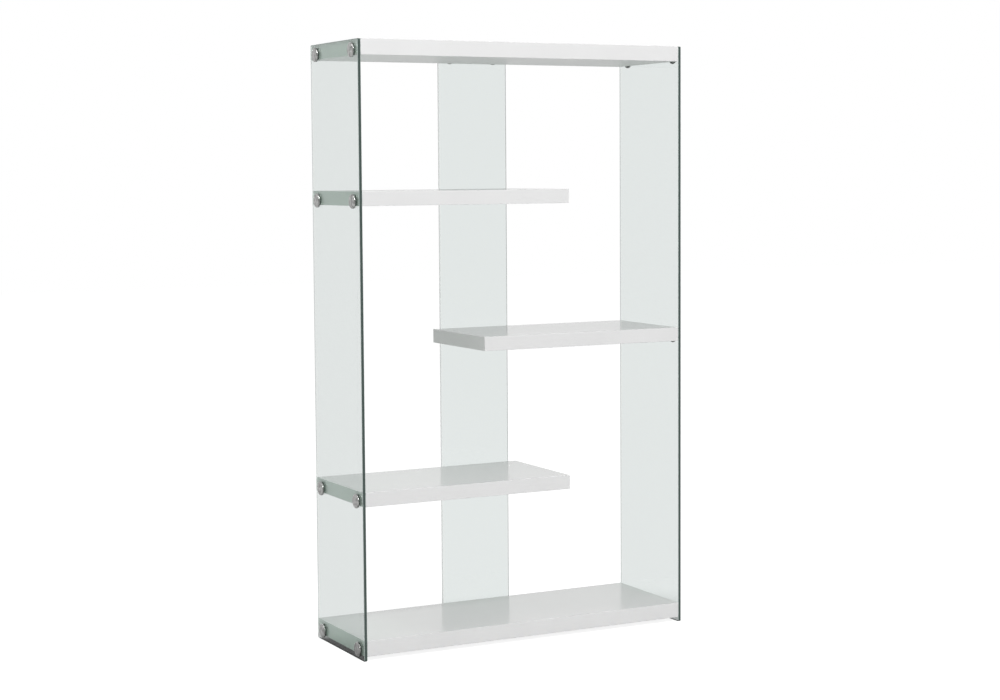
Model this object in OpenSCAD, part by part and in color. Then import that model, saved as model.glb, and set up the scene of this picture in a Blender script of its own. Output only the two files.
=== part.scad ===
// Open bookcase: white hollow shelves bolted between glass sides and a narrow glass back.
// Two shelves run the full width and three run half of it, stepping left, right and left.
// The origin is on the floor at the middle of the outline, +X right, +Y to the back, +Z up.

/* [Overall] */
// Width over the outer faces of the side glass
side_span = 902; // [760:2:1100]
// Depth of the side glass and of every shelf
unit_d = 291; // [250:1:360]
// Height of the bottom shelf's underside above the floor
floor_gap = 12; // [6:1:80]
// Rise from the top of one shelf to the top of the next
shelf_pitch = 360.5; // [280:0.5:400]

/* [Glass] */
// Thickness of the glass
glass_t = 8; // [6:0.5:12]
// Width of the flat ground along every glass edge
arris = 0.8; // [0.4:0.1:1.5]
// Radius of the glass corners
glass_corner_r = 5; // [3:0.5:10]
// Width of the narrow back glass
back_glass_w = 195; // [170:1:300]
// Radius of the bolt holes drilled in the glass
glass_hole_r = 5; // [4.8:0.1:7]

/* [Shelves] */
// Thickness of a full-width shelf
shelf_t = 38; // [34:1:50]
// Thickness of a half-width shelf
half_shelf_t = 35; // [33:1:50]
// Thickness of the boards that skin a shelf above and below
skin_t = 3; // [2:0.5:5]
// Flat broken along the outer edges of the skins
edge_break = 0.8; // [0.4:0.1:1.5]
// Width of the rails along a shelf's front and back
long_rail_w = 22; // [18:1:27]
// Width of the rails across a shelf's ends
end_rail_w = 30; // [20:1:45]
// Length that a half shelf runs on past the far edge of the back glass
half_overrun = 22.5; // [10:0.5:60]

/* [Paper core] */
// Rows of cells from a shelf's front to its back
core_rows = 6; // [3:1:9]
// Width of a cell along the shelf, before it is stretched to fit
core_cell_w = 44; // [36:1:70]
// Thickness of the glued paper walls
core_wall = 1.2; // [0.8:0.1:2]
// Space left between the core and the rails round it
core_gap = 0.3; // [0.1:0.1:1]

/* [Fixings] */
// Distance of the side bolts from the front and back edges of the glass
side_bolt_inset = 35; // [33:1:60]
// Distance of the side bolts below the middle of a shelf's thickness
side_bolt_drop = 6.5; // [0:0.5:7.5]
// Distance of the back bolts from the side edges of the back glass
back_bolt_inset = 35; // [22:1:60]
// Distance of the back bolts below the middle of a shelf's thickness
back_bolt_drop = 2.5; // [0:0.5:6]
// Radius of the studs
stud_r = 3; // [2.5:0.1:3.5]
// Depth of a stud in its insert
stud_bite = 12; // [8:0.5:12.5]
// Depth of a stud in its cap
cap_bite = 3; // [2:0.1:3.2]
// Chamfer on both ends of a stud
stud_chamfer = 0.6; // [0.3:0.1:1]
// Radius of a cap
cap_r = 17.5; // [14:0.5:18]
// Height of a cap at its crown
cap_h = 4.5; // [4:0.1:8]
// Height of the upright wall at the rim of a cap
cap_rim_h = 1.8; // [1:0.1:2.4]
// Width of the bevel between a cap's rim and its face
cap_bevel = 2.5; // [1:0.1:4]
// Rise of a cap's face from its edge to its crown
cap_crown = 0.6; // [0.2:0.1:1.2]
// Thickness of the rubber washer under a cap
washer_t = 1.5; // [1:0.1:3]
// Distance that the washer sits in from the rim of its cap
washer_step = 0.3; // [0.1:0.1:1.5]
// Length of a threaded insert
insert_len = 13; // [13:0.5:16]
// Radius of the body of an insert
insert_r = 4.4; // [4.2:0.1:4.8]
// Radius of the ridges that grip the wood
ridge_r = 5; // [4.9:0.1:5.6]
// Number of ridges round an insert
ridge_count = 4; // [2:1:5]

/* [Clearances] */
// Space between a stud and the threads that hold it
thread_gap = 0.05; // [0.02:0.01:0.1]
// Space between a sleeve and the glass outside it
sleeve_gap = 0.1; // [0.05:0.05:0.2]
// Space between a stud and the sleeve or washer round it
stud_gap = 0.15; // [0.1:0.05:0.4]
// Space between the ridges and the wood pocket round them
pocket_gap = 0.05; // [0.02:0.01:0.1]
// Depth of a pocket beyond the end of its insert
pocket_spare = 0.5; // [0.3:0.1:1.5]

/* [Hidden] */
// Facets round every turned piece, hole and glass corner
round_fn = 64;
// Facets round the large circle that domes the face of a cap
crown_fn = 360;
// Distance that a cut runs past the face it opens
cut_over = 1;
// Fewest cells along a shelf
core_min_cells = 2;
// Rise from one row of hexagons to the next, as a share of their height
row_rise = 0.75;

inner_x = side_span / 2 - glass_t;
total_d = unit_d + glass_t + washer_t + cap_h;
front_y = -total_d / 2;
back_y = front_y + unit_d;
half_end = back_glass_w / 2 + half_overrun;

// A shelf: name, number of rises above the bottom shelf, left end, right end, thickness
SHELVES = [
    ["bottom_shelf", 0, -inner_x, inner_x, shelf_t],
    ["lower_left_shelf", 1, -inner_x, half_end, half_shelf_t],
    ["middle_right_shelf", 2, -half_end, inner_x, half_shelf_t],
    ["upper_left_shelf", 3, -inner_x, half_end, half_shelf_t],
    ["top_shelf", 4, -inner_x, inner_x, shelf_t]
];
function shelf_name(shelf) = shelf[0];
function shelf_top(shelf) = floor_gap + shelf_t + shelf[1] * shelf_pitch;
function shelf_left(shelf) = shelf[2];
function shelf_right(shelf) = shelf[3];
function shelf_thickness(shelf) = shelf[4];
function shelf_middle(shelf) = shelf_top(shelf) - shelf_thickness(shelf) / 2;
function rail_z(shelf) = shelf_top(shelf) - shelf_thickness(shelf) + skin_t;
function rail_h(shelf) = shelf_thickness(shelf) - 2 * skin_t;
function meets_left_glass(shelf) = shelf_left(shelf) == -inner_x;
function meets_right_glass(shelf) = shelf_right(shelf) == inner_x;

glass_h = shelf_top(SHELVES[len(SHELVES) - 1]);
side_bolt_ys = [front_y + side_bolt_inset, back_y - side_bolt_inset];
back_bolt_xs = [back_bolt_inset - back_glass_w / 2, back_glass_w / 2 - back_bolt_inset];
function side_bolt_z(shelf) = shelf_middle(shelf) - side_bolt_drop;
function back_bolt_z(shelf) = shelf_middle(shelf) - back_bolt_drop;

SHELF_PIECES = ["lower_skin", "core", "front_rail", "back_rail", "left_rail", "right_rail", "upper_skin"];
PLACES = ["left", "right", "back"];
FIXING_PIECES = ["inserts", "studs", "sleeves", "washers", "caps"];

glass_colour = [0.78, 0.9, 0.86, 0.4];
white_gloss = "white";
bare_board = "burlywood";

// Puts its children at every bolt of one place, with +Z along the bolt and out of the shelf
module at_bolts(place) {
    for (shelf = SHELVES) {
        if (place == "left" && meets_left_glass(shelf))
            for (y = side_bolt_ys)
                translate([-inner_x, y, side_bolt_z(shelf)]) rotate([0, -90, 0]) children();
        if (place == "right" && meets_right_glass(shelf))
            for (y = side_bolt_ys)
                translate([inner_x, y, side_bolt_z(shelf)]) rotate([0, 90, 0]) children();
        if (place == "back")
            for (x = back_bolt_xs)
                translate([x, back_y, back_bolt_z(shelf)]) rotate([-90, 0, 0]) children();
    }
}

// A rectangle from the origin with its corners rounded
module rounded_rectangle(w, h, r) {
    translate([r, 0]) square([w - 2 * r, h]);
    translate([0, r]) square([w, h - 2 * r]);
    for (x = [r, w - r], y = [r, h - r])
        translate([x, y]) circle(r = r, $fn = round_fn);
}

// A rectangle from the origin with its corners cut off at 45 degrees
module broken_rectangle(w, h, c) {
    polygon([[c, 0], [w - c, 0], [w, c], [w, h - c], [w - c, h], [c, h], [0, h - c], [0, c]]);
}

// A standing pane, thin along X, with its corner on the origin and a small flat on every edge
module pane(w, h) {
    intersection() {
        rotate([90, 0, 90]) linear_extrude(glass_t) rounded_rectangle(w, h, glass_corner_r);
        linear_extrude(h) broken_rectangle(glass_t, w, arris);
        translate([0, w, 0]) rotate([90, 0, 0]) linear_extrude(w) broken_rectangle(glass_t, h, arris);
    }
}

// The bolt holes through the glass of one place
module glass_holes(place) {
    at_bolts(place)
        translate([0, 0, -cut_over]) cylinder(r = glass_hole_r, h = glass_t + 2 * cut_over, $fn = round_fn);
}

module left_side_glass() {
    color(glass_colour)
    difference() {
        translate([-side_span / 2, front_y, 0]) pane(unit_d, glass_h);
        glass_holes("left");
    }
}

module right_side_glass() {
    color(glass_colour)
    difference() {
        translate([inner_x, front_y, 0]) pane(unit_d, glass_h);
        glass_holes("right");
    }
}

module back_glass() {
    color(glass_colour)
    difference() {
        translate([back_glass_w / 2, back_y, 0]) rotate([0, 0, 90]) pane(back_glass_w, glass_h);
        glass_holes("back");
    }
}

// A thin board from the origin whose upper edges are broken all round
module skin_board(l, w) {
    intersection() {
        translate([0, w, 0]) rotate([90, 0, 0]) linear_extrude(w) skin_profile(l);
        rotate([90, 0, 90]) linear_extrude(l) skin_profile(w);
    }
}

module skin_profile(w) {
    polygon([
        [0, 0], [w, 0], [w, skin_t - edge_break], [w - edge_break, skin_t], [edge_break, skin_t],
        [0, skin_t - edge_break]
    ]);
}

module upper_skin(shelf) {
    l = shelf_right(shelf) - shelf_left(shelf);
    translate([shelf_left(shelf), front_y, shelf_top(shelf) - skin_t]) skin_board(l, unit_d);
}

module lower_skin(shelf) {
    l = shelf_right(shelf) - shelf_left(shelf);
    translate([shelf_left(shelf), front_y, rail_z(shelf)]) mirror([0, 0, 1]) skin_board(l, unit_d);
}

// The pockets that the threaded inserts of one place are driven into
module insert_pockets(place) {
    at_bolts(place)
        translate([0, 0, -insert_len - pocket_spare])
            cylinder(r = ridge_r + pocket_gap, h = insert_len + pocket_spare + cut_over, $fn = round_fn);
}

module front_rail(shelf) {
    translate([shelf_left(shelf), front_y, rail_z(shelf)])
        cube([shelf_right(shelf) - shelf_left(shelf), long_rail_w, rail_h(shelf)]);
}

module back_rail(shelf) {
    difference() {
        translate([shelf_left(shelf), back_y - long_rail_w, rail_z(shelf)])
            cube([shelf_right(shelf) - shelf_left(shelf), long_rail_w, rail_h(shelf)]);
        insert_pockets("back");
    }
}

// A rail across one end of a shelf, between the front and back rails
module end_rail(shelf, x) {
    translate([x, front_y + long_rail_w, rail_z(shelf)])
        cube([end_rail_w, unit_d - 2 * long_rail_w, rail_h(shelf)]);
}

module left_rail(shelf) {
    difference() {
        end_rail(shelf, shelf_left(shelf));
        insert_pockets("left");
    }
}

module right_rail(shelf) {
    difference() {
        end_rail(shelf, shelf_right(shelf) - end_rail_w);
        insert_pockets("right");
    }
}

// A six-sided cell round the origin, shrunk by half a wall on every side
module core_cell(w, h) {
    half_w = (w - core_wall) / 2;
    half_h = h / 2 - core_wall / sqrt(3);
    shoulder = half_h / 2;
    polygon([
        [0, half_h], [half_w, shoulder], [half_w, -shoulder],
        [0, -half_h], [-half_w, -shoulder], [-half_w, shoulder]
    ]);
}

// Expanded paper honeycomb that keeps the skins apart, stretched to a whole number of cells
module core(shelf) {
    l = shelf_right(shelf) - shelf_left(shelf) - 2 * end_rail_w - 2 * core_gap;
    w = unit_d - 2 * long_rail_w - 2 * core_gap;
    cells = max(core_min_cells, round(l / core_cell_w));
    cell_w = (l - core_wall) / cells;
    cell_h = (w - core_wall) / (row_rise * (core_rows - 1) + 1);
    corner = [shelf_left(shelf) + end_rail_w + core_gap, front_y + long_rail_w + core_gap];
    translate([corner[0], corner[1], rail_z(shelf)])
        linear_extrude(rail_h(shelf))
            difference() {
                square([l, w]);
                intersection() {
                    translate([core_wall, core_wall]) square([l - 2 * core_wall, w - 2 * core_wall]);
                    union() {
                        for (row = [0 : core_rows - 1], i = [0 : cells])
                            translate([
                                core_wall / 2 + (i + (row % 2) / 2) * cell_w,
                                core_wall / 2 + cell_h * (1 / 2 + row_rise * row)
                            ])
                                core_cell(cell_w, cell_h);
                    }
                }
            }
}

module shelf_piece(shelf, piece) {
    if (piece == "upper_skin") color(white_gloss) upper_skin(shelf);
    if (piece == "lower_skin") color(white_gloss) lower_skin(shelf);
    if (piece == "front_rail") color(white_gloss) front_rail(shelf);
    if (piece == "back_rail") color(white_gloss) back_rail(shelf);
    if (piece == "left_rail") color(white_gloss) left_rail(shelf);
    if (piece == "right_rail") color(white_gloss) right_rail(shelf);
    if (piece == "core") color(bare_board) core(shelf);
}

// Brass insert with ridges round it, its mouth level with the face of the rail
module insert() {
    ridge_step = insert_len / (ridge_count + 0.5);
    difference() {
        union() {
            translate([0, 0, -insert_len]) cylinder(r = insert_r, h = insert_len, $fn = round_fn);
            for (i = [0 : ridge_count - 1])
                translate([0, 0, -ridge_step * (i + 0.5)])
                    cylinder(r = ridge_r, h = ridge_step / 2, $fn = round_fn);
        }
        translate([0, 0, -insert_len - cut_over])
            cylinder(r = stud_r + thread_gap, h = insert_len + 2 * cut_over, $fn = round_fn);
    }
}

// Steel stud from inside the insert, through the glass, to inside the cap
module stud() {
    stud_len = stud_bite + glass_t + washer_t + cap_bite;
    tip_r = stud_r - stud_chamfer;
    translate([0, 0, -stud_bite])
        rotate_extrude($fn = round_fn)
            polygon([
                [0, 0], [tip_r, 0], [stud_r, stud_chamfer], [stud_r, stud_len - stud_chamfer],
                [tip_r, stud_len], [0, stud_len]
            ]);
}

// The bore for a stud, right through a piece of this thickness
module stud_bore(thickness) {
    translate([0, 0, -cut_over])
        cylinder(r = stud_r + stud_gap, h = thickness + 2 * cut_over, $fn = round_fn);
}

// Clear sleeve that keeps the stud off the glass
module sleeve() {
    difference() {
        cylinder(r = glass_hole_r - sleeve_gap, h = glass_t, $fn = round_fn);
        stud_bore(glass_t);
    }
}

// Rubber washer between the glass and the cap
module washer() {
    translate([0, 0, glass_t])
        difference() {
            cylinder(r = cap_r - washer_step, h = washer_t, $fn = round_fn);
            stud_bore(washer_t);
        }
}

// Bevelled cap with a slightly domed face and a blind threaded hole in its flat side
module cap() {
    face_r = cap_r - cap_bevel;
    crown_r = (face_r * face_r + cap_crown * cap_crown) / (2 * cap_crown);
    translate([0, 0, glass_t + washer_t])
        rotate_extrude($fn = round_fn)
            difference() {
                intersection() {
                    polygon([[0, 0], [cap_r, 0], [cap_r, cap_rim_h], [face_r, cap_h], [0, cap_h]]);
                    translate([0, cap_h - crown_r]) circle(r = crown_r, $fn = crown_fn);
                }
                square([stud_r + thread_gap, cap_bite + thread_gap]);
            }
}

module fixing_piece(piece) {
    if (piece == "inserts") color("goldenrod") insert();
    if (piece == "studs") color("gray") stud();
    if (piece == "sleeves") color("whitesmoke") sleeve();
    if (piece == "washers") color("black") washer();
    if (piece == "caps") color("silver") cap();
}

left_side_glass();
right_side_glass();
back_glass();
for (shelf = SHELVES, piece = SHELF_PIECES)
    shelf_piece(shelf, piece);
for (place = PLACES, piece = FIXING_PIECES)
    at_bolts(place) fixing_piece(piece);
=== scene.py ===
import math

import bmesh
import bpy
from mathutils import Matrix, Vector


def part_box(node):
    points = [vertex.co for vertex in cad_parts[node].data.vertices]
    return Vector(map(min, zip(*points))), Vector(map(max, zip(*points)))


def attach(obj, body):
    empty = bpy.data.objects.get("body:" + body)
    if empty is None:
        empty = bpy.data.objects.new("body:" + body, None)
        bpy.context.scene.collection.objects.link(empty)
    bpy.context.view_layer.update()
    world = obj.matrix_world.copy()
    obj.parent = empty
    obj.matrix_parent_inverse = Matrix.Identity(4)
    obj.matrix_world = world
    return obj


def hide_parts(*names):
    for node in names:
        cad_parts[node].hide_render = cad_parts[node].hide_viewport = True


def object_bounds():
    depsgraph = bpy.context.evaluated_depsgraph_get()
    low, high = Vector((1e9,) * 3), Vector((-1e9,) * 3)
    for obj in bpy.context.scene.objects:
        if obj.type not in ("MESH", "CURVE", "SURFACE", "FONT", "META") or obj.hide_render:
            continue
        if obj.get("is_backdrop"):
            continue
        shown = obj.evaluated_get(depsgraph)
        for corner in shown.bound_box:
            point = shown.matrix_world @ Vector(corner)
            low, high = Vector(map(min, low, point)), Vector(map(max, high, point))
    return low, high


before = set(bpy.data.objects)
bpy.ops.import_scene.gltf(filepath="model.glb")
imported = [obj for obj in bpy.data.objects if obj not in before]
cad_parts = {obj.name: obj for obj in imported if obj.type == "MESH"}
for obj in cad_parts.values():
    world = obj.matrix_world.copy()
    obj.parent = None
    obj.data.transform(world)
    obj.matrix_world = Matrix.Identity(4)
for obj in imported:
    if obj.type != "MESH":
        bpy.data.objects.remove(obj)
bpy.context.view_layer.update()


# Paper honeycomb inside each shelf. Brown kraft paper, expanded and glued between the skins,
# so that a light shelf stays stiff. The shelf hides it once the skins are on.
SHELVES = ("bottom_shelf", "lower_left_shelf", "middle_right_shelf", "upper_left_shelf", "top_shelf")
NOISE_MIDDLE = (0.3, 0.7)


def new_material(name):
    material = bpy.data.materials.new(name)
    material.use_nodes = True
    nodes, links = material.node_tree.nodes, material.node_tree.links
    return material, nodes, links, nodes["Principled BSDF"]


def surface_noise(nodes, links, scale, detail):
    """Noise of a given fineness, in the piece's own space."""
    place = nodes.new("ShaderNodeTexCoord")
    noise = nodes.new("ShaderNodeTexNoise")
    noise.inputs["Scale"].default_value = scale
    noise.inputs["Detail"].default_value = detail
    links.new(place.outputs["Object"], noise.inputs["Vector"])
    return noise


def grain_bump(nodes, links, shader, scale, detail, strength, distance):
    """A fine uneven surface on the shader, and the noise that makes it."""
    noise = surface_noise(nodes, links, scale, detail)
    bump = nodes.new("ShaderNodeBump")
    bump.inputs["Strength"].default_value = strength
    bump.inputs["Distance"].default_value = distance
    links.new(noise.outputs["Fac"], bump.inputs["Height"])
    links.new(bump.outputs["Normal"], shader.inputs["Normal"])
    return noise


def tone_range(nodes, links, noise, low, high, socket):
    """Turns noise into a narrow range of colour, grey or roughness on a socket."""
    ramp = nodes.new("ShaderNodeValToRGB")
    for element, position, tone in zip(ramp.color_ramp.elements, NOISE_MIDDLE, (low, high)):
        element.position = position
        element.color = (*tone, 1) if isinstance(tone, tuple) else (tone, tone, tone, 1)
    links.new(noise.outputs["Fac"], ramp.inputs["Fac"])
    links.new(ramp.outputs["Color"], socket)


def kraft_paper():
    material, nodes, links, shader = new_material("kraft_paper")
    shader.inputs["Roughness"].default_value = 0.9
    fibres = grain_bump(nodes, links, shader, 900, 3, 0.3, 0.0003)
    tone_range(nodes, links, fibres, (0.40, 0.27, 0.15), (0.52, 0.37, 0.22), shader.inputs["Base Color"])
    return material


def finish_solid(node, material):
    """Gives a piece that keeps its drawn shape its real finish."""
    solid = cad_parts[node]
    solid.data.materials.clear()
    solid.data.materials.append(material)


paper = kraft_paper()
for shelf in SHELVES:
    finish_solid(shelf + "_core", paper)


# Threaded brass inserts and zinc-plated steel studs. The inserts are driven into the shelf rails,
# and a stud runs from each one through the glass into its cap. The turned surfaces show fine rings.
PLACES = ("left", "right", "back")


def turned_metal(name, colour, roughness):
    material, nodes, links, shader = new_material(name)
    shader.inputs["Metallic"].default_value = 1
    shader.inputs["Base Color"].default_value = (*colour, 1)
    marks = grain_bump(nodes, links, shader, 2500, 2, 0.15, 0.0001)
    tone_range(nodes, links, marks, *roughness, shader.inputs["Roughness"])
    return material


brass = turned_metal("turned_brass", (0.78, 0.58, 0.26), (0.23, 0.36))
zinc = turned_metal("zinc_plate", (0.60, 0.61, 0.62), (0.27, 0.40))
for place in PLACES:
    finish_solid(place + "_inserts", brass)
    finish_solid(place + "_studs", zinc)


# Clear plastic sleeves in the holes of the glass. Injection moulded, pushed in by hand, they keep
# the steel off the glass.
def clear_nylon():
    material, nodes, links, shader = new_material("clear_nylon")
    shader.inputs["Base Color"].default_value = (0.88, 0.90, 0.89, 1)
    shader.inputs["Transmission Weight"].default_value = 0.75
    shader.inputs["IOR"].default_value = 1.49
    flow = grain_bump(nodes, links, shader, 700, 1, 0.1, 0.0002)
    tone_range(nodes, links, flow, 0.12, 0.2, shader.inputs["Roughness"])
    return material


nylon = clear_nylon()
for place in PLACES:
    finish_solid(place + "_sleeves", nylon)


# The shelves. Hollow boards of thin fibreboard over a frame of rails, wrapped and sprayed in white
# lacquer, so that no joint shows and every edge is slightly rounded by the spray. The top and sides
# are glossy and the underside is duller. Each end is drawn up tight against the glass by two bolts.
BOARD_PARTS = ("_lower_skin", "_upper_skin", "_front_rail", "_back_rail", "_left_rail", "_right_rail")
SEAM = 0.0001
LACQUER_ROUND = 0.0008
LACQUER_STEPS = 3
DOWNWARD = 0.99


def white_lacquer(name, shine, roughness, white):
    material, nodes, links, shader = new_material(name)
    shader.inputs["IOR"].default_value = 1.5
    shader.inputs["Coat Weight"].default_value = shine
    shader.inputs["Coat IOR"].default_value = 1.6
    shader.inputs["Coat Roughness"].default_value = 0.26
    peel = grain_bump(nodes, links, shader, 140, 2, 0.03, 0.0005)
    tone_range(nodes, links, peel, *roughness, shader.inputs["Roughness"])
    cloud = surface_noise(nodes, links, 6, 2)
    tone_range(nodes, links, cloud, *white, shader.inputs["Base Color"])
    return material


def shelf_board(name, low, high):
    """A closed board between two corners with sprayed, slightly rounded edges."""
    mesh = bpy.data.meshes.new(name)
    board = bmesh.new()
    bmesh.ops.create_cube(board, size=1)
    for vertex in board.verts:
        vertex.co = Vector(low[i] if vertex.co[i] < 0 else high[i] for i in range(3))
    bmesh.ops.bevel(
        board,
        geom=list(board.edges),
        offset=LACQUER_ROUND,
        segments=LACQUER_STEPS,
        profile=0.5,
        affect="EDGES",
    )
    for face in board.faces:
        face.smooth = True
        face.material_index = 1 if face.normal.z < -DOWNWARD else 0
    board.to_mesh(mesh)
    board.free()
    piece = bpy.data.objects.new(name, mesh)
    bpy.context.collection.objects.link(piece)
    flatten = piece.modifiers.new("even_faces", "WEIGHTED_NORMAL")
    flatten.keep_sharp = True
    return piece


gloss = white_lacquer("white_gloss_lacquer", shine=1, roughness=(0.05, 0.08), white=(0.775, 0.80))
satin = white_lacquer("white_satin_underside", shine=0.45, roughness=(0.36, 0.42), white=(0.76, 0.79))
satin.node_tree.nodes["Principled BSDF"].inputs["Specular IOR Level"].default_value = 0.4
for shelf in SHELVES:
    low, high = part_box(shelf + "_lower_skin")[0].copy(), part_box(shelf + "_upper_skin")[1].copy()
    low.x += SEAM
    high.x -= SEAM
    high.y -= SEAM
    board = shelf_board(shelf + "_board", low, high)
    board.data.materials.append(gloss)
    board.data.materials.append(satin)
    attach(board, "root")
    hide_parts(*(shelf + part for part in BOARD_PARTS))


# The glass. Three panes of 8 mm clear tempered float glass, cut, drilled and ground on every edge
# before tempering. Long edges look dark green because light travels the length of the pane, and
# the narrow back pane, which is shorter from edge to edge, has pale ones.
PANE_TINT = (0.783, 0.821, 0.811, 1)
LAMP_TINT = (0.88, 0.99, 0.92, 1)
GREEN_EDGE = (0.055, 0.080, 0.072, 1)
PALE_EDGE = (0.90, 0.95, 0.93, 1)
ARRIS_TINT = (0.62, 0.72, 0.69, 1)
GLASS_IOR = 1.5
GRINDING = 0.12
FLAT_FACE = 0.99
SLOPED_FACE = 0.4


def of_two(nodes, links, operation, first, second):
    """The product, larger or smaller of two values, each a socket or a number."""
    maths = nodes.new("ShaderNodeMath")
    maths.operation = operation
    for socket, value in zip(maths.inputs, (first, second)):
        if isinstance(value, bpy.types.NodeSocket):
            links.new(value, socket)
        else:
            socket.default_value = value
    return maths.outputs[0]


def mixed(nodes, links, share, first, second):
    """One shader where the share is 0 and another where it is 1."""
    mix = nodes.new("ShaderNodeMixShader")
    links.new(share, mix.inputs["Fac"])
    links.new(first.outputs[0], mix.inputs[1])
    links.new(second.outputs[0], mix.inputs[2])
    return mix


def float_glass():
    """Clear glass that also lets soft and direct light through, so that what stands behind is lit."""
    material, nodes, links, shader = new_material("clear_float_glass")
    shader.inputs["Base Color"].default_value = PANE_TINT
    shader.inputs["Transmission Weight"].default_value = 1
    shader.inputs["IOR"].default_value = GLASS_IOR
    shader.inputs["Roughness"].default_value = 0
    path = nodes.new("ShaderNodeLightPath")
    unseen = of_two(nodes, links, "MAXIMUM", path.outputs["Is Shadow Ray"], path.outputs["Is Diffuse Ray"])
    clear = nodes.new("ShaderNodeBsdfTransparent")
    clear.inputs["Color"].default_value = LAMP_TINT
    surface = mixed(nodes, links, unseen, shader, clear)
    links.new(surface.outputs["Shader"], nodes["Material Output"].inputs["Surface"])
    return material


def ground_edge(name, colour, roughness, clear, alpha=1):
    """Finely ground glass from outside, and clear glass where it is seen from within the pane."""
    material, nodes, links, shader = new_material(name)
    shader.inputs["Base Color"].default_value = colour
    shader.inputs["Transmission Weight"].default_value = clear
    shader.inputs["IOR"].default_value = GLASS_IOR
    shader.inputs["Alpha"].default_value = alpha
    scratches = grain_bump(nodes, links, shader, 1800, 2, 0.12, 0.0002)
    tone_range(nodes, links, scratches, roughness, roughness + GRINDING, shader.inputs["Roughness"])
    within = nodes.new("ShaderNodeBsdfGlass")
    within.inputs["Roughness"].default_value = 0
    within.inputs["IOR"].default_value = GLASS_IOR
    side = nodes.new("ShaderNodeNewGeometry")
    surface = mixed(nodes, links, side.outputs["Backfacing"], shader, within)
    links.new(surface.outputs["Shader"], nodes["Material Output"].inputs["Surface"])
    return material


def glass_pane(node, thin, *finishes):
    """The pane as drilled, with its flat faces, ground edges and arrises finished apart."""
    name = node.replace("glass", "pane")
    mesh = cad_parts[node].data.copy()
    mesh.name = name
    mesh.materials.clear()
    for material in finishes:
        mesh.materials.append(material)
    for face in mesh.polygons:
        slope = abs(face.normal[thin])
        face.material_index = 0 if slope > FLAT_FACE else 2 if slope > SLOPED_FACE else 1
        face.use_smooth = False
    pane = bpy.data.objects.new(name, mesh)
    bpy.context.collection.objects.link(pane)
    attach(pane, "root")
    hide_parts(node)


glass = float_glass()
green_edge = ground_edge("ground_green_edge", GREEN_EDGE, 0.12, 0)
pale_edge = ground_edge("ground_pale_edge", PALE_EDGE, 0.3, 0.6, alpha=0.35)
arris = ground_edge("ground_arris", ARRIS_TINT, 0.35, 0.3)
glass_pane("left_side_glass", 0, glass, green_edge, arris)
glass_pane("right_side_glass", 0, glass, green_edge, arris)
glass_pane("back_glass", 1, glass, pale_edge, pale_edge)


# Rubber washers and chrome caps. A black washer lies on the glass, and a die-cast, chrome-plated cap
# with a rounded edge and a slightly domed face screws down on it. The cap hides the stud and the
# hole in the glass.
WASHER_LIFT = 0.00005
WASHER_R = 0.0172
WASHER_H = 0.0015
CAP_R = 0.0175
CAP_H = 0.0045
CAP_RIM = 0.0012
CAP_BEVEL = 0.0025
CAP_CROWN = 0.0006
HOLE_R = 0.0034
SOFT_EDGE = 0.0003
CROWN_TIP = 0.00001
TURN_STEPS = 64
BEVEL_STEPS = 9
FACE_STEPS = 16
SHARP_ANGLE = math.radians(40)
BOLT_INSET = 0.035
SIDE_DROP = 0.0065
BACK_DROP = 0.0025
TOUCHING = 0.001
OUTWARD = {"left": Vector((-1, 0, 0)), "right": Vector((1, 0, 0)), "back": Vector((0, 1, 0))}


def black_rubber():
    material, nodes, links, shader = new_material("black_rubber")
    pores = grain_bump(nodes, links, shader, 3000, 3, 0.3, 0.0001)
    tone_range(nodes, links, pores, 0.5, 0.65, shader.inputs["Roughness"])
    shader.inputs["Base Color"].default_value = (0.012, 0.012, 0.012, 1)
    return material


def satin_chrome():
    material, nodes, links, shader = new_material("satin_chrome")
    shader.inputs["Metallic"].default_value = 1
    wipes = grain_bump(nodes, links, shader, 900, 4, 0.06, 0.0001)
    tone_range(nodes, links, wipes, 0.12, 0.24, shader.inputs["Roughness"])
    # Painted reflection: blotches of darker and lighter base colour stand in for a mottled room seen in the
    # chrome
    painted_reflection_blotch = surface_noise(nodes, links, 120, 3)
    tone_range(nodes, links, painted_reflection_blotch, (0.27, 0.27, 0.265), (0.62, 0.62, 0.61), shader.inputs["Base Color"])
    return material


def washer_profile():
    """A ring between the glass and the cap, clear of both by a hair."""
    low, high = WASHER_LIFT, WASHER_H - WASHER_LIFT
    return [
        (HOLE_R, low),
        (WASHER_R - SOFT_EDGE, low),
        (WASHER_R, low + SOFT_EDGE),
        (WASHER_R, WASHER_H - SOFT_EDGE),
        (WASHER_R - SOFT_EDGE, high),
        (HOLE_R, high),
        (HOLE_R, low),
    ]


def cap_profile():
    """From the underside out, up the rim, over the rounded edge and across the face to the crown."""
    face_r = CAP_R - CAP_BEVEL
    face_edge = CAP_H - CAP_CROWN
    crown_r = (face_r ** 2 + CAP_CROWN ** 2) / (2 * CAP_CROWN)
    points = [(HOLE_R, 0), (CAP_R - SOFT_EDGE, 0), (CAP_R, SOFT_EDGE)]
    for i in range(BEVEL_STEPS):
        turn = math.pi / 2 * i / BEVEL_STEPS
        out, up = CAP_BEVEL * math.cos(turn), (face_edge - CAP_RIM) * math.sin(turn)
        points.append((face_r + out, CAP_RIM + up))
    for i in range(FACE_STEPS + 1):
        radius = (face_r - SOFT_EDGE) * (1 - i / FACE_STEPS)
        height = CAP_H - crown_r + math.sqrt(crown_r ** 2 - radius ** 2)
        points.append((max(radius, CROWN_TIP), height))
    return points


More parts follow.
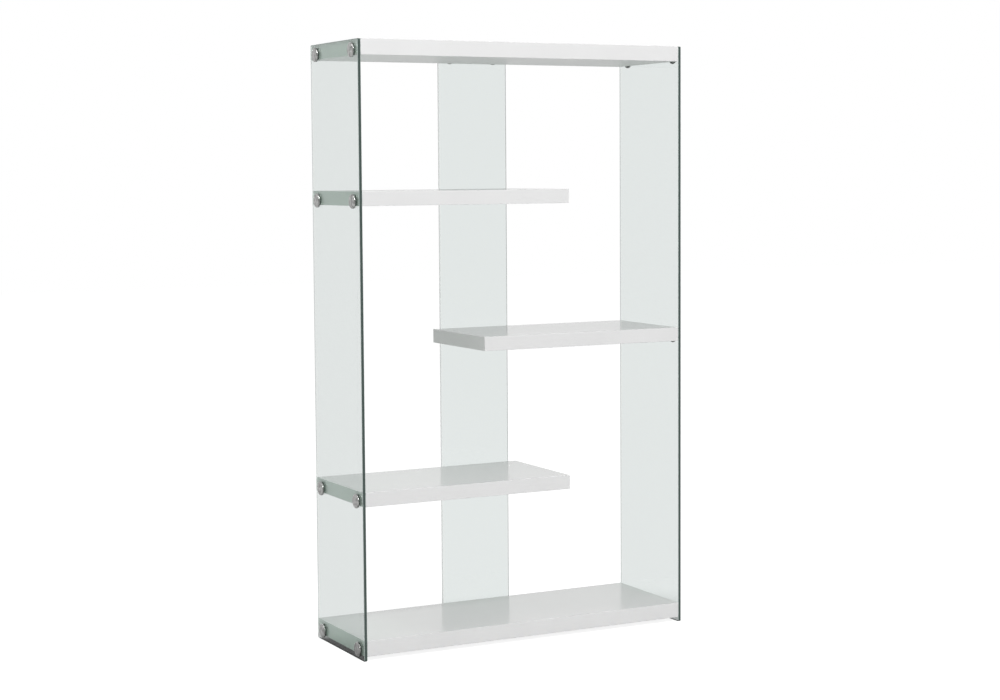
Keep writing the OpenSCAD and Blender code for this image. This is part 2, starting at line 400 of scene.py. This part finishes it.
def turned(profile, axis_frame):
    """Vertices and faces of a profile of (radius, height) turned round an axis."""
    vertices, faces = [], []
    count = len(profile)
    for step in range(TURN_STEPS):
        angle = 2 * math.pi * step / TURN_STEPS
        for radius, height in profile:
            vertices.append(axis_frame @ Vector((radius * math.cos(angle), radius * math.sin(angle), height)))
    for step in range(TURN_STEPS):
        here, there = step * count, (step + 1) % TURN_STEPS * count
        for i in range(count - 1):
            faces.append((here + i, there + i, there + i + 1, here + i + 1))
    return vertices, faces


def turned_set(name, profile, centres, outward, lift):
    """One object with a turned piece at each bolt, all alike."""
    vertices, faces = [], []
    turn = outward.to_track_quat("Z", "Y").to_matrix().to_4x4()
    for centre in centres:
        more, sides = turned(profile, Matrix.Translation(centre + outward * lift) @ turn)
        faces += [tuple(i + len(vertices) for i in side) for side in sides]
        vertices += more
    mesh = bpy.data.meshes.new(name)
    mesh.from_pydata(vertices, [], faces)
    mesh.validate()
    shape = bmesh.new()
    shape.from_mesh(mesh)
    bmesh.ops.recalc_face_normals(shape, faces=shape.faces)
    for face in shape.faces:
        face.smooth = True
    for line in shape.edges:
        if len(line.link_faces) == 2 and line.calc_face_angle() > SHARP_ANGLE:
            line.smooth = False
    shape.to_mesh(mesh)
    shape.free()
    piece = bpy.data.objects.new(name, mesh)
    bpy.context.collection.objects.link(piece)
    return piece


def bolt_centres(place):
    """Where the bolts of one pane meet its outer face, two for each shelf that touches the pane."""
    pane_low, pane_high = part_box("back_glass" if place == "back" else place + "_side_glass")
    outer, inner = (pane_low.x, pane_high.x) if place == "left" else (pane_high.x, pane_low.x)
    centres = []
    for shelf in SHELVES:
        low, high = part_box(shelf + "_lower_skin")[0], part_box(shelf + "_upper_skin")[1]
        middle = (low.z + high.z) / 2
        shelf_end = low.x if place == "left" else high.x
        if place == "back":
            for x in (pane_low.x + BOLT_INSET, pane_high.x - BOLT_INSET):
                centres.append(Vector((x, pane_high.y, middle - BACK_DROP)))
        elif abs(shelf_end - inner) < TOUCHING:
            for y in (pane_low.y + BOLT_INSET, pane_high.y - BOLT_INSET):
                centres.append(Vector((outer, y, middle - SIDE_DROP)))
    return centres


rubber, chrome = black_rubber(), satin_chrome()
for place in PLACES:
    centres = bolt_centres(place)
    washers = turned_set(place + "_rubber_washers", washer_profile(), centres, OUTWARD[place], 0)
    washers.data.materials.append(rubber)
    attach(washers, "root")
    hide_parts(place + "_washers")
    caps = turned_set(place + "_chrome_caps", cap_profile(), centres, OUTWARD[place], WASHER_H)
    caps.data.materials.append(chrome)
    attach(caps, "root")
    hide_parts(place + "_caps")


# The studio floor, a plain pale sheet that reads as white and keeps the soft shadow of the bookcase.
# Seen through glass or in mirrors it is a glow with a painted shadow near the bookcase, and in mirrors a
# painted, dimmer reflection, most of all far out in front of the bookcase.
FLOOR_SPAN = 30
FLOOR_DROP = 0.0005
PAINTED_SHADOW_REACH = 0.25
MIRROR_FLOOR = 0.72
MIRROR_FLOOR_FAR = 0.5
FAR_Y, NEAR_Y = -5, -1


def level_between(nodes, links, value, start, end, low, high):
    """Turns a value that runs from start to end into one that runs from low to high."""
    level = nodes.new("ShaderNodeMapRange")
    for name, setting in (("From Min", start), ("From Max", end), ("To Min", low), ("To Max", high)):
        if isinstance(setting, bpy.types.NodeSocket):
            links.new(setting, level.inputs[name])
        else:
            level.inputs[name].default_value = setting
    links.new(value, level.inputs["Value"])
    return level.outputs["Result"]


def pale_sheet():
    material, nodes, links, shader = new_material("pale_floor")
    shader.inputs["Base Color"].default_value = (0.70, 0.70, 0.70, 1)
    shader.inputs["Roughness"].default_value = 0.9
    shader.inputs["Specular IOR Level"].default_value = 0.1
    path = nodes.new("ShaderNodeLightPath")
    # Seen directly: a glow that reads as white, with enough of a lit surface left for the shadow
    lit = nodes.new("ShaderNodeBsdfDiffuse")
    lit.inputs["Color"].default_value = (0.45, 0.45, 0.45, 1)
    glow = nodes.new("ShaderNodeEmission")
    glow.inputs["Strength"].default_value = 0.86
    seen = nodes.new("ShaderNodeAddShader")
    links.new(lit.outputs["BSDF"], seen.inputs[0])
    links.new(glow.outputs["Emission"], seen.inputs[1])
    # Seen through glass or in a mirror: an even white glow with a painted shadow close to the bookcase,
    # painted dimmer in mirrors
    spot = nodes.new("ShaderNodeTexCoord")
    across = nodes.new("ShaderNodeSeparateXYZ")
    links.new(spot.outputs["Object"], across.inputs["Vector"])
    glass_passed = path.outputs["Transmission Depth"]
    # Painted reflection: the floor's brightness in mirrors is set here, dimmer far out in front of the
    # bookcase
    far_level = level_between(nodes, links, glass_passed, 0, 1, MIRROR_FLOOR_FAR, MIRROR_FLOOR)
    mirrored = level_between(nodes, links, across.outputs["Y"], FAR_Y, NEAR_Y, far_level, MIRROR_FLOOR)
    level = level_between(nodes, links, path.outputs["Glossy Depth"], 0, 1, 1, mirrored)
    # Painted shadow: ambient occlusion darkens the glow near the bookcase, in place of shade from the lamps
    painted_contact_shadow = nodes.new("ShaderNodeAmbientOcclusion")
    painted_contact_shadow.samples = 8
    painted_contact_shadow.inputs["Distance"].default_value = PAINTED_SHADOW_REACH
    pale = nodes.new("ShaderNodeEmission")
    links.new(of_two(nodes, links, "MULTIPLY", painted_contact_shadow.outputs["AO"], level), pale.inputs["Strength"])
    indirect = of_two(
        nodes, links, "MAXIMUM", path.outputs["Is Transmission Ray"], path.outputs["Is Glossy Ray"]
    )
    direct = mixed(nodes, links, path.outputs["Is Camera Ray"], shader, seen)
    surface = mixed(nodes, links, indirect, direct, pale)
    links.new(surface.outputs["Shader"], nodes["Material Output"].inputs["Surface"])
    return material


floor_mesh = bpy.data.meshes.new("floor")
half = FLOOR_SPAN / 2
corners = [(half * x, half * y, -FLOOR_DROP) for x, y in ((-1, -1), (1, -1), (1, 1), (-1, 1))]
floor_mesh.from_pydata(corners, [], [(0, 1, 2, 3)])
floor = bpy.data.objects.new("floor", floor_mesh)
bpy.context.collection.objects.link(floor)
floor_mesh.materials.append(pale_sheet())
floor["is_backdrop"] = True


# The studio. White walls that give less light than they show, and are dimmer in mirrors, most of
# all behind the camera. One broad soft lamp hangs high in front and a small one at the upper left.
WALL_LIGHT = 0.31
WALL_SHOWN = 1
MIRROR_BACK = 0.76
MIRROR_FRONT = 0.48
MIRROR_FRONT_IN_GLASS = 0.85
THROUGH_GLASS = 0.85
FRONTWARD = 0.4
world = bpy.data.worlds.new("white_studio")
bpy.context.scene.world = world
world.use_nodes = True
nodes, links = world.node_tree.nodes, world.node_tree.links
walls = nodes["Background"]
shown = nodes.new("ShaderNodeBackground")
mirrored = nodes.new("ShaderNodeBackground")
for background, strength in ((walls, WALL_LIGHT), (shown, WALL_SHOWN), (mirrored, MIRROR_BACK)):
    background.inputs["Color"].default_value = (1, 1, 1, 1)
    background.inputs["Strength"].default_value = strength
path = nodes.new("ShaderNodeLightPath")
facing = nodes.new("ShaderNodeTexCoord")
toward = nodes.new("ShaderNodeSeparateXYZ")
links.new(facing.outputs["Generated"], toward.inputs["Vector"])
glass_passed = path.outputs["Transmission Depth"]
front = level_between(nodes, links, glass_passed, 0, 1, MIRROR_FRONT, MIRROR_FRONT_IN_GLASS)
around = level_between(nodes, links, toward.outputs["Y"], -FRONTWARD, FRONTWARD, front, MIRROR_BACK)
through = level_between(nodes, links, glass_passed, 0, 1, 1, THROUGH_GLASS)
links.new(of_two(nodes, links, "MULTIPLY", around, through), mirrored.inputs["Strength"])
in_view = of_two(nodes, links, "MAXIMUM", path.outputs["Is Camera Ray"], path.outputs["Is Transmission Ray"])
in_mirror = of_two(nodes, links, "MINIMUM", path.outputs["Glossy Depth"], 1)
direct = mixed(nodes, links, in_view, walls, shown)
studio = mixed(nodes, links, in_mirror, direct, mirrored)
links.new(studio.outputs["Shader"], nodes["World Output"].inputs["Surface"])


def soft_lamp(name, place, aim, width, height, power):
    data = bpy.data.lights.new(name, "AREA")
    data.shape = "RECTANGLE"
    data.size = width
    data.size_y = height
    data.energy = power
    lamp = bpy.data.objects.new(name, data)
    bpy.context.collection.objects.link(lamp)
    lamp.location = place
    lamp.rotation_mode = "QUATERNION"
    lamp.rotation_quaternion = (Vector(aim) - Vector(place)).to_track_quat("-Z", "Y")


soft_lamp("front_lamp", place=(0.2, -5.2, 5.5), aim=(0, 0, 0.8), width=2.8, height=2.2, power=353)
soft_lamp("upper_left_lamp", place=(-1.5, -0.3, 2.8), aim=(-0.3, 0, 1), width=0.9, height=0.9, power=10)


# The camera, at the height of the upper shelves and well to the left of the front. It looks slightly
# down, and its picture is shifted a little to frame the bookcase.
CAMERA_PLACE = Vector((-2.335021, -4.465044, 1.177371))
CAMERA_YAW = math.radians(27.125)
CAMERA_PITCH = math.radians(-4.120)
CAMERA_ROLL = math.radians(-0.416)
CAMERA_LENS = 71.312
CAMERA_SHIFT = (0.0177, -0.0362)
ahead = Vector(
    (
        math.sin(CAMERA_YAW) * math.cos(CAMERA_PITCH),
        math.cos(CAMERA_YAW) * math.cos(CAMERA_PITCH),
        math.sin(CAMERA_PITCH),
    )
)
level = Vector((math.cos(CAMERA_YAW), -math.sin(CAMERA_YAW), 0))
above = level.cross(ahead)
right = level * math.cos(CAMERA_ROLL) + above * math.sin(CAMERA_ROLL)
upward = above * math.cos(CAMERA_ROLL) - level * math.sin(CAMERA_ROLL)
camera_data = bpy.data.cameras.new("camera")
camera_data.sensor_width = 36
camera_data.lens = CAMERA_LENS
camera_data.shift_x, camera_data.shift_y = CAMERA_SHIFT
camera = bpy.data.objects.new("camera", camera_data)
bpy.context.collection.objects.link(camera)
camera.matrix_world = Matrix.Translation(CAMERA_PLACE) @ Matrix((right, upward, -ahead)).transposed().to_4x4()
bpy.context.scene.camera = camera
bpy.context.scene.view_settings.view_transform = "Standard"

low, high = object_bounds()
